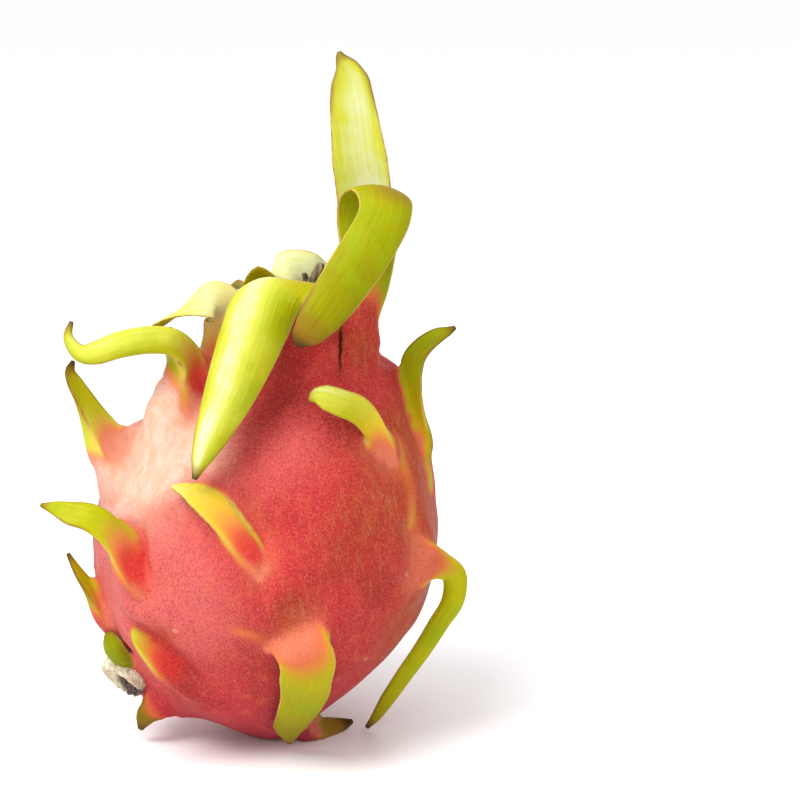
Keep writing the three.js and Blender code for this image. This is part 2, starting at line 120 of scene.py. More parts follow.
# The bracts that the photograph shows: crown, sides, then low down.
BRACTS = [
    Bract(  # tall
        [(23.5, 4, 96.5, 5), (25, 10, 112, 5), (26.5, 13, 123.5, 5.6), (27.5, 12, 136, 7),
         (27.5, 10, 148.5, 7.7), (26.5, 9, 157, 7.7), (25.5, 8.5, 165, 6.9), (24.5, 8, 173, 6.1),
         (24, 7.5, 178.5, 5.2), (23, 7, 182, 3.3), (21.5, 6.5, 184.5, 1.5), (21, 6.5, 186, 0.5)],
        [(0, 0, -1, 0.1)], [(0, 25), (0.5, 30), (1, 15)], lift=(6, 5), bump=(1.5, 10), flush=18,
        tone=(1.1, 0.15, -0.32, -0.1), band=(0.9, 0.3), warm=0, dry=3),
    Bract(  # folded over
        [(25.5, -5, 93, 5), (26, -12, 108.5, 4.8), (26.5, -13, 117.5, 5.2), (28.5, -11, 126.5, 6.2),
         (29, -7, 135, 7.5), (28.5, -5, 142, 8), (29, -6, 147.5, 8.2), (31.5, -10, 151.5, 7.8),
         (33.5, -15, 151, 7.4), (33.5, -20, 147, 7.2), (31, -25, 142, 7.1), (27.5, -28, 136.5, 7.1),
         (24, -31, 131.5, 6.8), (20.5, -33, 126.5, 6.4), (17, -35, 122, 5.6), (14, -36.5, 118.5, 4.4),
         (12, -37, 116.5, 3), (11, -37, 115, 1.2)],
        [(0, -0.1, 1, 0.1), (0.38, -0.1, 1, 0.1), (0.48, 0.18, 0, 0.95), (0.6, 0.15, -0.95, 0.25),
         (1, 0.2, -0.95, 0.2)], [(0, 35), (0.35, 25), (0.45, -5), (0.5, -25), (0.65, -30), (1, -20)],
        lift=(6, 4), foot=(3, 9), bump=(2, 10), flush=20, tone=(0.5, 0, -0.3, -0.1), warm=0, dry=4.5),
    Bract(  # hanging
        [(13.5, -8, 93.5, 6.8), (14, -14, 108, 6.8), (13.5, -15, 116.5, 7), (11.5, -15.5, 123, 8.2),
         (8.5, -18, 127, 9.6), (5, -23, 129, 10.4), (2.5, -28, 127, 10.6), (0.6, -32, 121.5, 10.3),
         (-1.5, -35, 116, 9.8), (-4.5, -39, 108, 8.4), (-7.5, -42, 100.5, 6.8), (-11, -44, 92.5, 4.8),
         (-13.5, -45, 86.5, 2.6), (-15, -45, 82, 0.6)],
        [(0, 0.1, 1, 0), (0.3, 0.1, 1, 0), (0.42, 0.12, 0, 1), (0.55, -0.05, -0.95, 0.3), (1, 0, -1, 0.1)],
        [(0, 30), (0.25, 15), (0.34, -24), (0.44, -50), (0.6, -58), (1, -40)], lift=(10, 4), foot=(3, 9),
        # Its lighter stripe is a painted highlight; its paleness across it is painted light and shade.
        flush=18, tone=(0.43, 0.02, 0.15, -0.2), band=(0.25, -0.62), warm=0, dry=4),
    Bract(  # back left
        [(15, 6, 98, 6), (16, 9, 109, 5.8), (16, 9, 117.5, 7), (14, 8, 122.5, 8.2), (10.5, 6, 125.5, 8.2),
         (7, 4, 127, 7.8), (3, 3, 126.5, 7.2), (-0.6, 2.5, 125, 5.6), (-5, 3, 122.5, 0.8)],
        [(0, 0.9, -0.45, 0), (0.42, 0.7, -0.6, 0.3), (0.6, 0.1, -0.9, 0.4), (0.76, -0.1, -0.6, 0.75),
         (0.86, 0, 0.7, 0.6), (1, 0, 0.8, 0.5)], [(0, 30), (0.4, 15), (0.55, -10), (1, -10)], lift=(8, 5),
        tone=(1.05, 0, -0.22, -0.4), warm=0.1, dry=0.4),
    Bract(  # left
        [(-12, -4, 94.5, 5.8), (-10, -8, 105.5, 5.6), (-9, -10, 114.5, 5.8), (-9, -11, 120, 6.4),
         (-11.5, -12, 122.5, 6.6), (-16, -13, 121.5, 5.6), (-21.5, -14, 119, 3.8), (-28.5, -15, 115, 0.8)],
        [(0, 0.1, -1, 0), (0.45, 0.15, -0.9, 0.3), (0.6, 0.05, -0.7, 0.65), (0.78, 0, -0.1, 0.95),
         (1, 0, 0.6, 0.7)], [(0, 30), (0.4, 20), (0.6, -10), (1, -15)], lift=(8, 6), flush=7,
        tone=(1.15, 0, -0.42, -0.2), warm=1.5, blush=(0.3, 8), dry=0.9),
    Bract(  # long, on the left
        [(-20, -16, 84, 8), (-18.5, -17, 92.5, 6.2), (-17.5, -17, 100, 5), (-17.5, -17.5, 106, 4.4),
         (-19, -19, 110, 4), (-22, -21, 113, 3.9), (-27.5, -23, 114, 3.8), (-35.5, -25, 113, 3.6),
         (-41.5, -25.5, 111, 3.2), (-45, -25, 110.5, 2.5), (-47.5, -24, 112, 1.9), (-49, -23, 115, 1.3),
         (-48, -22, 118.5, 0.5)],
        [(0, 0.9, -0.42, 0.05), (0.3, 0.8, -0.55, 0.2), (0.5, 0, -0.87, 0.5), (1, 0, -0.6, 0.8)],
        [(0, 38), (0.35, 30), (0.5, -15), (1, -20)], lift=(12, 7), foot=(7, 21), bump=(3.5, 11), flush=14,
        tone=(0.62, 0, 0.15, -0.2), band=(-0.7, 0.25), warm=0.6, blush=(1, 22), dry=4),
    Bract(  # upper horn
        [(-35.5, -15, 79, 7), (-41, -12.5, 85.5, 5.6), (-45, -11.5, 92, 4.2), (-47.5, -11, 96.5, 3.4),
         (-49.5, -10.5, 100, 2.9), (-50.5, -10, 103, 1.9), (-49.5, -9, 105.5, 0.5)],
        [(0, 0.75, -0.55, 0.35)], [(0, 40), (0.5, 30), (1, 20)], lift=(8, 6), foot=(5, 12), bump=(2.5, 9),
        flush=9, tone=(0.9, 0, -0.6, -0.1), warm=0.6, blush=(0.2, 8), dry=4),
    Bract(  # middle horn
        [(-27, -33.5, 45, 3.4), (-30.5, -35, 52.5, 4.6), (-33.5, -35.5, 58, 4.8), (-35.5, -35.5, 62.5, 4.5),
         (-39, -35.5, 67, 4.2), (-43, -35, 69.5, 4), (-48, -34.5, 70.5, 3.4), (-52, -33.5, 71.5, 2.1),
         (-56, -32.5, 72, 0.5)],
        [(0, 0.85, -0.5, 0.2), (0.3, 0.7, -0.6, 0.35), (0.55, 0.3, -0.75, 0.55), (0.75, 0, -0.8, 0.6)],
        [(0, 38), (0.35, 28), (0.6, -10), (1, -10)], lift=(7, 7), foot=(3, 9), bump=(1.5, 10),
        crease=(3, 3.5), flush=13, tone=(0.42, 0, 0.1, -0.1), warm=0.8, blush=(1, 9), dry=2.5),
    Bract(  # low horn
        [(-39, -12, 31, 3), (-41.5, -12.5, 36, 3), (-44, -13, 40, 2.9), (-46.5, -13, 44, 2.7),
         (-48.5, -13, 47, 2.2), (-50.5, -12.5, 50.5, 1.4), (-52, -12, 53.5, 0.5)],
        [(0, 0.8, -0.4, 0.3)], [(0, 38), (1, 20)], lift=(2.5, 4), foot=(2, 6), bump=(0, 8), flush=6,
        tone=(0.45, 0, 0, -0.1), warm=0.8, dry=3),
    Bract(  # upper front
        [(36.5, -18, 74, 1.4), (34.5, -23, 82, 1.8), (32, -27.5, 88.5, 2.6), (29, -30, 94, 3.3),
         (26, -32, 97.5, 3.8), (22, -33.5, 99.5, 3.8), (18, -34, 101, 3.4), (15.5, -33.5, 101, 2.2),
         (14, -33, 100, 0.6)],
        [(0, -0.5, -0.8, 0.1), (0.35, -0.35, -0.85, 0.3), (0.6, -0.1, -0.9, 0.4)],
        [(0, 25), (0.4, 22), (1, 15)], lift=(1.5, 5), bump=(1.5, 9), tone=(0.42, 0.1, 0.3, -0.2),
        warm=1.2, dry=1.5),
    Bract(  # upper right
        [(43.5, -4, 66, 2), (43.5, -6.5, 75, 2.4), (43, -8, 84, 3), (41.5, -8.5, 91.5, 3.4),
         (40.5, -8, 98, 3.8), (40.5, -6.5, 102.5, 3.9), (41.5, -5.5, 106, 3.6), (44, -4.5, 109, 3),
         (47.5, -4, 111.5, 2.3), (50, -3.5, 112.5, 1.4), (52, -3, 113.5, 0.5)],
        [(0, -0.75, -0.6, 0.1), (0.6, -0.6, -0.75, 0.3), (1, -0.3, -0.9, 0.4)],
        [(0, 30), (0.5, 30), (1, 15)], lift=(3, 5), foot=(1, 7), bump=(0, 9), flush=3.5,
        tone=(0.34, -0.1, 0, -0.1), warm=0.9, dry=3),
    Bract(  # middle front
        [(4.5, -43, 53.5, 1.8), (0.2, -46, 61, 2.6), (-3.5, -46.8, 66.5, 3.5), (-7.5, -46, 71.5, 4.5),
         (-12, -44, 75.5, 4.6), (-16.5, -42, 78, 3.2), (-21, -41, 79, 0.7)],
        [(0, 0.45, -0.75, 0.5)], [(0, 20), (1, 10)], lift=(6, 10), crease=(2.6, 6), flush=12,
        tone=(0.68, 0, 0.1, -0.1), warm=1.9, blush=(0.9, 9), dry=0.1),
    Bract(  # long, on the right
        [(37.5, -24, 54, 6.5), (43.5, -22, 53.5, 4.8), (48, -19, 52, 3.6), (51.5, -16.5, 49, 3.3),
         (52, -15, 44, 3.2), (51, -14, 39.5, 3.2), (48, -12, 34, 3.1), (43.5, -9, 25.5, 2.9),
         (38.5, -7, 17.5, 2.7), (34, -5, 10, 2.4), (30.5, -3, 4, 1.6), (28, -2, 0.9, 0.6)],
        [(0, -0.1, -0.9, 0.45), (0.28, 0, -0.85, 0.5), (0.45, 0.4, -0.9, 0.2), (1, 0.5, -0.85, 0)],
        [(0, 25), (0.2, 15), (0.3, -15), (1, -20)], lift=(4, 6), bump=(1, 9),
        tone=(0.48, 0, 0, -0.1), warm=0.5, dry=4),
    Bract(  # low front
        [(1, -33, 43.5, 7), (5.5, -39, 41.5, 6.2), (9.5, -44, 40, 5.2), (12.5, -46.5, 37, 5.8),
         (13.5, -46.5, 33, 6.8), (13, -44.5, 28, 7), (12.5, -39.5, 22, 6.6), (10.5, -33.5, 15.5, 5.8),
         (8, -27, 9, 4.8), (7.5, -22, 3.5, 0.8)],
        [(0, 0, -0.9, 0.4)], [(0, 12), (0.3, 5), (0.5, -18), (1, -15)], lift=(2, 4.5), bump=(1, 9),
        tone=(0.62, 0, -0.4, -0.1), warm=0.8, blush=(0, 8), dry=2),
    Bract(  # underneath
        [(10, -10, 5, 4), (14, -6, 2, 3.6), (18, -3, 1.5, 3.2), (21.5, -1, 1.5, 2.2), (24, 0, 2, 0.6)],
        [(0, 0, -0.5, 0.86)], [(0, 15), (1, 10)], lift=(1, 6), bump=(0, 10), flush=2, tone=(0.1, 0, 0, 0),
        dry=6),
    Bract(  # front, low on the left
        [(-13, -26, 17, 3), (-16.5, -30, 22, 4), (-20.5, -32.5, 27, 4.6), (-24.5, -34, 31, 4.8),
         (-28.5, -34, 34.5, 4.2), (-31.5, -33, 36.5, 2.6), (-34, -32, 38, 0.6)],
        [(0, 0.5, -0.7, 0.5)], [(0, 20), (1, 15)], lift=(4, 6), crease=(2.6, 5), flush=10,
        tone=(0.4, 0, 0.2, -0.1), warm=0.1, blush=(0.9, 11), dry=0.1),
    Bract(  # beside the stem
        [(-35.5, -9, 20.5, 2.8), (-37.5, -16.5, 24.5, 3.2), (-39.5, -18.5, 28, 3.6),
         (-40.5, -18, 30.5, 3.2), (-41, -17, 33, 1.4)],
        [(0, 0.2, 1, 0.3)], [(0, 30), (1, 20)], lift=(1, 3), foot=(0, 4), bump=(0, 8), flush=3,
        tone=(0, 0, 0.2, 0), warm=0, dry=1),
    Bract(  # under the stem
        [(-26, -11, 10.5, 3.2), (-28.5, -14, 11, 2.9), (-31, -15, 9.5, 2.5), (-32.5, -14, 7, 2),
         (-33.5, -12, 4, 0.8)],
        [(0, 0.3, -0.85, 0.4)], [(0, 30), (1, -10)], lift=(3, 6), bump=(4, 12), flush=3, tone=(0, 0, 0, 0),
        warm=0, dry=6),
]


# The far side's bracts follow one rule: turn and rise of the root, length, lift, curl, sway, half
# width of the root. Angles are in degrees, sizes in mm.
FAR_BRACTS = [
    (76, 62, 56, 15, 60, 0, 10), (120, 58, 46, 25, 130, -15, 9.5),
    (62, 24, 42, 20, 110, 10, 9), (88, 32, 48, 20, 90, -15, 10), (130, 28, 40, 20, 75, -5, 9),
    (60, -6, 40, 25, 130, -10, 9), (103, -2, 40, 25, 100, 15, 9.5), (138, -4, 32, 20, 110, -5, 8.5),
    (50, -38, 30, 20, 110, 10, 8), (86, -36, 32, 20, 90, -10, 8), (130, -34, 28, 20, 70, 10, 8),
]
FAR_TAPER = [(0, 1), (0.25, 0.78), (0.55, 0.62), (0.8, 0.38), (1, 0.06)]  # share of the width
FAR_LEAST_WIDTH = 0.6
FAR_CUP = [(0, 36), (1, 36)]
FAR_STEPS = 6
FAR_ROOT_SINK = 1.5
FAR_CURL_START = 0.3  # share of the length
FAR_FLUSH = 0.22  # share of the length that stays red
CROWNWARDS = np.array([0.3, 0, 1])


# ---- curves and blades
FINE_STEPS = 24
FLAT = 0.005  # radians of curl below which a section counts as flat

# What each vertex of a blade knows: how far it lies above the skin along the blade, its share of
# the half width, its side (1 inner, -1 outer), its share of the length, the bract's number, and its
# distance from the middle line and from the tip. All distances are in mm.
TAGS = ("rise", "across", "side", "share", "number", "sideways", "to_tip")


def unit(v):
    v = np.asarray(v, float)
    return v / np.linalg.norm(v, axis=-1, keepdims=True)


def square_to(axis, v):
    return unit(v - (v @ axis) * axis)


def mirrored(v, axis):
    return v - 2 * (v @ axis) * axis


def direction(turn, rise):
    """Turned from +X towards +Y and raised from the level, both in degrees."""
    turn, rise = math.radians(turn), math.radians(rise)
    flat = math.cos(rise)
    return np.array([math.cos(turn) * flat, math.sin(turn) * flat, math.sin(rise)])


def dot(a, b):
    return np.einsum("ij,ij->i", a, b)


def ramp(points, at):
    positions, values = zip(*points)
    return np.interp(at, positions, values)


def bell(distance, width):
    return np.exp(-((distance / width) ** 2))


def smoothstep(low, high, x):
    t = np.clip((x - low) / (high - low), 0, 1)
    return t * t * (3 - 2 * t)


def within(limits, x):
    return (x > limits[0]) & (x < limits[1])


def bump_sum(directions, bumps):
    """Sum of round bumps seen in each direction from the body's centre."""
    total = np.zeros(directions.shape[:-1])
    for towards, height, spread in bumps:
        angle = np.arccos(np.clip(directions @ unit(towards), -1, 1))
        total += height * bell(angle, math.radians(spread))
    return total


def round_radius(directions):
    return BODY_RADIUS + bump_sum(directions, SWELLINGS)


def rough(points, layers):
    """Smooth seeded noise. Each layer is a sum of plane waves: height, seed, count, frequency."""
    total = np.zeros(len(points))
    for height, seed, count, frequency in layers:
        rng = np.random.default_rng(seed)
        layer = np.zeros(len(points))
        for _ in range(count):
            axis = unit(rng.normal(size=3)) * frequency * rng.uniform(0.6, 1.4)
            layer += np.cos(points @ axis + rng.uniform(0, 2 * math.pi))
        total += height * (layer / math.sqrt(count))
    return total


def grown_bract(turn, rise, length, lift, curl, sway, width):
    lift, curl, sway = np.radians([lift, curl, sway])
    outwards = direction(turn, rise)
    up = square_to(outwards, CROWNWARDS)
    side = np.cross(up, outwards)
    at = BODY_CENTRE + outwards * (round_radius(outwards) - FAR_ROOT_SINK)
    shares = np.linspace(0, 1, FAR_STEPS + 1)
    path = [at]
    for share in shares[1:]:
        curled = max(0, share - FAR_CURL_START) / (1 - FAR_CURL_START)
        pitch = lift * min(1, 2 * share) + curl * curled
        ahead = up * math.cos(pitch) + outwards * math.sin(pitch)
        swing = sway * share
        at = at + (ahead * math.cos(swing) + side * math.sin(swing)) * length / FAR_STEPS
        path.append(at)
    half = np.maximum(FAR_LEAST_WIDTH, width * ramp(FAR_TAPER, shares))
    rows = np.column_stack([path, half])
    return Bract(rows, [(0, *-outwards)], FAR_CUP, flush=FAR_FLUSH * length)


def reach_of(points, power=1):
    """How far along a bent line each of its points lies."""
    steps = np.linalg.norm(np.diff(points, axis=0), axis=1)
    return np.concatenate([[0], np.cumsum(steps**power)])


def resampled(points, count):
    """So many points, evenly spaced along a bent line."""
    reach = reach_of(points)
    even = np.linspace(0, reach[-1], count)
    return np.stack([np.interp(even, reach, column) for column in points.T], axis=1)


def between(t, t0, t1, a, b):
    return (t1 - t) / (t1 - t0) * a + (t - t0) / (t1 - t0) * b


def smooth_path(points, step):
    """Catmull-Rom curve: points at even steps, its length, and its share at each given point."""
    points = np.array(points, float)
    knots = reach_of(points, 0.5)
    ends = np.vstack([2 * points[0] - points[1], points, 2 * points[-1] - points[-2]])
    times = np.concatenate([[-knots[1]], knots, [2 * knots[-1] - knots[-2]]])
    fine = []
    for i in range(1, len(ends) - 2):
        t = np.linspace(times[i], times[i + 1], FINE_STEPS, endpoint=False)[:, None]
        a = [between(t, *times[j : j + 2], *ends[j : j + 2]) for j in (i - 1, i, i + 1)]
        b = [between(t, times[i - 1], times[i + 1], *a[:2]), between(t, times[i], times[i + 2], *a[1:])]
        fine.append(between(t, *times[i : i + 2], *b))
    fine = np.vstack(fine + [points[-1:]])
    reach = reach_of(fine)
    count = round(reach[-1] / step) + 1
    return resampled(fine, count), reach[-1], reach[::FINE_STEPS] / reach[-1]


def frames_along(points, faces):
    """Tangents, and normals that turn from each given direction to the next as evenly as they can."""
    faces = np.array(faces, float)
    shares, faces = faces[:, 0], faces[:, 1:]
    tangents = unit(np.gradient(points, axis=0))
    normals = np.zeros_like(points)
    normals[0] = square_to(tangents[0], faces[0])
    for i in range(1, len(points)):
        chord = unit(points[i] - points[i - 1])
        bisector = unit(tangents[i] - mirrored(tangents[i - 1], chord))
        carried = mirrored(mirrored(normals[i - 1], chord), bisector)
        normals[i] = square_to(tangents[i], carried)
    sideways = np.cross(tangents, normals)
    at = np.rint(shares * (len(points) - 1)).astype(int)
    turns = np.arctan2(dot(sideways[at], faces), dot(normals[at], faces))
    turn = np.interp(np.linspace(0, 1, len(points)), shares, np.unwrap(turns))[:, None]
    return tangents, normals * np.cos(turn) + sideways * np.sin(turn)


class Blade:
    """The fine mesh of a bract, as rings of points with their TAGS."""

    def __init__(self, bract, number, reach):
        self.number, self.lift, self.crease = number, bract.lift, bract.crease
        rows = np.array(bract.path, float)
        self.points, self.length, passed = smooth_path(rows[:, :3], STATION_STEP)
        share = np.linspace(0, 1, len(self.points))
        self.rise = share * self.length - self.length_in_skin(reach)
        tangents, self.inwards = frames_along(self.points, bract.faces)
        side = np.cross(tangents, self.inwards)
        flare = bell(np.maximum(self.rise, 0), FLARE_LENGTH)
        half = np.interp(share, passed, rows[:, 3]) * (1 + FLARE * flare)
        half, rise, share = half[:, None], self.rise[:, None], share[:, None]
        cup = np.radians(ramp(bract.cup, share))
        cup = np.where(np.abs(cup) < FLAT, FLAT, cup)
        foot = bract.foot[0] * bell(rise, bract.foot[1])
        thickness = ramp(BLADE_THICKNESS, share)

        # Each ring runs across the inner side and back across the outer side.
        across = np.sin(np.linspace(-math.pi / 2, math.pi / 2, SECTION_POINTS))
        rings, tags = [], []
        for sign, values in ((1, across), (-1, across[::-1][1:-1])):
            angle = values * cup
            body = BLADE_EDGE + (thickness - BLADE_EDGE) * (1 - values**2)
            offset = sign * body * np.sqrt(np.maximum(0, 1 - values**6)) / 2
            if sign < 0:
                offset = offset - foot * (1 - values**4)
            sideways = half * np.sin(angle) / cup - offset * np.sin(angle)
            lifted = half * (1 - np.cos(angle)) / cup + offset * np.cos(angle)
            ring = self.points[:, None] + side[:, None] * sideways[..., None]
            rings.append(ring + self.inwards[:, None] * lifted[..., None])
            known = (rise, values, sign, share, number, values * half, self.length * (1 - share))
            tags.append(np.stack(np.broadcast_arrays(*known), axis=-1))
        self.rings = np.concatenate(rings, axis=1)
        self.tags = np.concatenate(tags, axis=1)

    def length_in_skin(self, reach):
        outwards = self.points - BODY_CENTRE
        height = np.linalg.norm(outwards, axis=1) - reach(unit(outwards))
        return self.length * np.argmax(height > 0) / (len(self.points) - 1)


# ---- meshes
def added(name, data):
    obj = bpy.data.objects.new(name, data)
    bpy.context.scene.collection.objects.link(obj)
    return obj


def new_object(name, vertices_mm, faces):
    mesh = bpy.data.meshes.new(name)
    mesh.from_pydata([tuple(v) for v in np.asarray(vertices_mm) * MM], [], faces)
    mesh.update()
    return added(name, mesh)


def lofted(name, rings):
    """A closed skin over rings of points, capped at both ends."""
    count, around = rings.shape[:2]
    here = np.arange(count * around).reshape(count, around)
    beside = np.roll(here, -1, axis=1)
    sides = np.stack([here[:-1], beside[:-1], beside[1:], here[1:]], axis=-1).reshape(-1, 4)
    faces = [*sides.tolist(), here[0, ::-1].tolist(), here[-1].tolist()]
    return new_object(name, rings.reshape(-1, 3), faces)


def joined(body, parts):
    """Unites the parts with the body, which stays."""
    holder = bpy.data.collections.new("parts")
    for part in parts:
        holder.objects.link(part)
    modifier = body.modifiers.new("join", "BOOLEAN")
    modifier.operation = "UNION"
    modifier.operand_type = "COLLECTION"
    modifier.collection = holder
    modifier.solver = "MANIFOLD"
    depsgraph = bpy.context.evaluated_depsgraph_get()
    body.data = bpy.data.meshes.new_from_object(body.evaluated_get(depsgraph))
    body.modifiers.clear()
    for part in parts:
        bpy.data.objects.remove(part)
    bpy.data.collections.remove(holder)


def read(items, key, size, kind):
    flat = np.empty(len(items) * size, kind)
    items.foreach_get(key, flat)
    return flat.reshape(-1, size)


def write(mesh, name, kind, key, values):
    """A new attribute with the values of all vertices."""
    layer = mesh.attributes.new(name, kind, "POINT")
    layer.data.foreach_set(key, values.astype(np.float32).ravel())


def tree_of(points):
    tree = KDTree(len(points))
    for i, p in enumerate(points):
        tree.insert(p, i)
    tree.balance()
    return tree


def nearest(tree, points):
    index, distance = zip(*(tree.find(p)[1:] for p in points))
    return np.array(index), np.array(distance)


def near_line(line, width, points):
    """1 on the smooth line through some points, and next to nothing two widths from it."""
    curve = smooth_path(line, LINE_STEP)[0]
    return bell(nearest(tree_of(curve), points)[1], width)


def smoothed(points, edges, weight, rounds):
    """Pulls each point towards the mean of its neighbours, by its weight."""
    a, b = edges[:, 0], edges[:, 1]
    degree = np.bincount(edges.ravel(), minlength=len(points))
    for _ in range(rounds):
        total = np.stack([
            np.bincount(a, column[b], len(points)) + np.bincount(b, column[a], len(points))
            for column in points.T
        ], axis=1)
        points = points + weight[:, None] * (total / degree[:, None] - points)
    return points


# ---- the fruit
def icosphere_directions(subdivisions):
    bm = bmesh.new()
    bmesh.ops.create_icosphere(bm, subdivisions=subdivisions, radius=1.0)
    directions = unit(np.array([v.co[:] for v in bm.verts]))
    faces = [tuple(v.index for v in f.verts) for f in bm.faces]
    bm.free()
    return directions, faces


class Body:
    """The round skin: how far it reaches in each direction, and its fine mesh."""

    def __init__(self, bracts):
        self.bumps = [(b.path[0][:3] - BODY_CENTRE, *b.bump) for b in bracts]

    def reach(self, directions):
        return round_radius(directions) + bump_sum(directions, self.bumps)

    def build(self, blades):
        self.directions, self.faces = icosphere_directions(BODY_SUBDIVISIONS)
        reach = self.reach(self.directions) + rough(self.directions, SKIN_WAVES)
        points = BODY_CENTRE + self.directions * reach[:, None]
        return points + self.directions * self.root_shift(points, blades)[:, None]

    def root_shift(self, points, blades):
        """The skin climbs each bract's back and creases in front of it. Positive is outwards."""
        climb = sum(self.climb_of(blade) ** 3 for blade in blades) ** (1 / 3)
        points = points + self.directions * climb[:, None]
        samples, inwards, roots = [], [], []
        for blade in blades:
            near = within(CREASE_RISES, blade.rise)
            samples.append(blade.rings[near][:, :SECTION_POINTS].reshape(-1, 3))
            inwards.append(np.repeat(blade.inwards[near], SECTION_POINTS, axis=0))
            roots += [blade.number] * len(samples[-1])
        samples, inwards = np.vstack(samples), np.vstack(inwards)
        index, distance = nearest(tree_of(samples), points)
        root = np.array(roots)[index]
        ahead = dot(points - samples[index], inwards[index])
        self.known = {"ahead": ahead, "to_blade": distance, "root": root}
        depth, width = np.array([blade.crease for blade in blades])[root].T
        return climb - depth * bell(distance, width) * smoothstep(-0.5, 1, ahead)

    def climb_of(self, blade):
        """How far the skin rises in each direction to meet a bract."""
        near = within(CLIMB_RISES, blade.rise)
        rings = blade.rings[near][::2, SECTION_POINTS - 1 :]
        samples = rings.reshape(-1, 3) - BODY_CENTRE
        inwards = np.repeat(blade.inwards[near][::2], rings.shape[1], axis=0)
        outwards = unit(samples)
        skin = self.reach(outwards)
        height = np.linalg.norm(samples, axis=1) - skin
        height *= 1 - smoothstep(CLIMB_FADE, 1, height / blade.lift[0])
        kept = height > CLIMB_LEAST
        outwards, height, skin, inwards = (a[kept] for a in (outwards, height, skin, inwards))
        inwards = unit(inwards - dot(inwards, outwards)[:, None] * outwards)
        middle = unit(outwards.mean(axis=0))
        span = math.acos((outwards @ middle).min()) + CLIMB_WIDTHS * blade.lift[1] / BODY_RADIUS
        close = self.directions @ middle > math.cos(span)
        apart = self.directions[close][:, None] - outwards
        distance = np.linalg.norm(apart, axis=2) * skin
        ahead = np.einsum("ijk,jk->ij", apart, inwards) * skin
        width = blade.lift[1] + (CLIMB_FRONT - blade.lift[1]) * smoothstep(-1, 2, ahead)
        climb = np.zeros(len(self.directions))
        climb[close] = (height * bell(distance, width)).max(axis=1)
        return climb


def build_fruit():
    bracts = BRACTS + [grown_bract(*row) for row in FAR_BRACTS]
    body = Body(bracts)
    blades = [Blade(b, i, body.reach) for i, b in enumerate(bracts)]
    skin = body.build(blades)
    fruit = new_object("fruit_skin", skin, body.faces)
    joined(fruit, [lofted(f"bract_{b.number}", b.rings) for b in blades])

    # What each vertex came from: the skin or a bract, and on which side of it.
    points = read(fruit.data.vertices, "co", 3, np.float32).astype(float) / MM
    sources = np.vstack([skin] + [b.rings.reshape(-1, 3) for b in blades])
    tags = np.vstack([b.tags.reshape(-1, len(TAGS)) for b in blades])
    index, distance = nearest(tree_of(sources), points)
    on_blade = index >= len(skin)
    tag = dict(zip(TAGS, tags[np.maximum(index - len(skin), 0)].T))
    tag |= {name: values[np.minimum(index, len(skin) - 1)] for name, values in body.known.items()}

    # The seams are smoothed further out where the skin climbs the bract.
    on_back = (tag["side"] < 0) | (np.abs(tag["across"]) > SIDE_EDGE)
    behind = np.where(on_blade, on_back, smoothstep(0.8, -0.8, tag["ahead"]))
    to_seam = nearest(tree_of(points[distance > SEAM_GAP]), points)[1]
    reach = SEAM_FRONT + (np.where(on_blade, SEAM_BLADE, SEAM_BACK) - SEAM_FRONT) * behind
    weight = 0.5 * (1 - smoothstep(0.15, 1, to_seam / reach))
    edges = read(fruit.data.edges, "vertices", 2, np.int32)
    points = smoothed(points, edges, weight, SEAM_ROUNDS)
    pressed = CREVICE_DEPTH * near_line(CREVICE_LINE, CREVICE_WIDTH, points)
    points = points + pressed[:, None] * unit(CREVICE_INWARDS)
    points[:, 2] = np.maximum(points[:, 2], 0)
    fruit.data.vertices.foreach_set("co", (points * MM).astype(np.float32).ravel())
    fruit.data.update()

    for name, values in fruit_masks(points, on_blade, tag, bracts).items():
        values = smoothed(values, edges, np.full(len(points), 0.5), MASK_ROUNDS[name])
        values = np.column_stack([values, np.ones(len(values))])
        write(fruit.data, name, "FLOAT_COLOR", "color", values)
    return fruit


# ---- stub and flower
# The woody stub: a chip of the stem left on at picking, longer than it is wide, its pith showing.
STUB_SEAT = np.array([-35.5, -10.5, 21.5])
STUB_OUTWARDS = (-0.5, -0.6, -0.62)
STUB_ALONG = (0.68, -0.1, -0.73)
STUB_HALF_LENGTH = 7
STUB_HALF_WIDTH = 5
STUB_HEIGHT = 6
# Its profile: share of the half length and width, and height above the skin in mm.
STUB_PROFILE = [
    (0.02, -5), (0.86, -5), (0.97, 0), (1, 2), (0.99, 4), (0.93, 5.6), (0.84, 6), (0.74, 5.7),
    (0.6, 5.3), (0.3, 5.1), (0.02, 5.2),
]
STUB_SIDES = 110
STUB_RINGS = 70
STUB_WAVES = [(0.3, 11, 24, 0.8), (0.14, 12, 24, 2.6)]
PITH_CENTRE = (0.38, 0)  # shares of the half length and width
PITH_SIZE = 0.74
PITH_FROM = 3  # mm of height above which the pith shows
PITH_SINK = 0.7
PITH_WAVES = [(0.45, 13, 30, 4.5)]

# The withered flower: wrinkled, twisted strips that stand in the crown. Path, half width, flatness.
FLOWER_STRIPS = [
    ([(12.5, 2, 103), (12.5, 2, 116), (14, 2, 124), (16, 2, 130)], 3.4, 0.8),
    ([(12, 1, 104), (10.5, 0, 115), (10, -1.5, 121), (8, -2.5, 124)], 2.2, 0.5),
    ([(13, 3, 104), (14.5, 3, 115), (17, 3.5, 122), (18.5, 4, 126)], 2.4, 0.6),
    ([(12, 2.5, 104), (11, 3.5, 116), (12, 4.5, 123), (11.5, 4, 127)], 2.2, 0.5),
]
FLOWER_SIDES = 40
FLOWER_FLUTES = 5
FLUTE_DEPTH = 0.2
FLOWER_TURNS = 0.6
FLOWER_TAPER = 0.75  # share of its width that a strip loses towards its tip
WRINKLES = (0.16, 20, 30, 3)  # as for the waves, with the first strip's seed


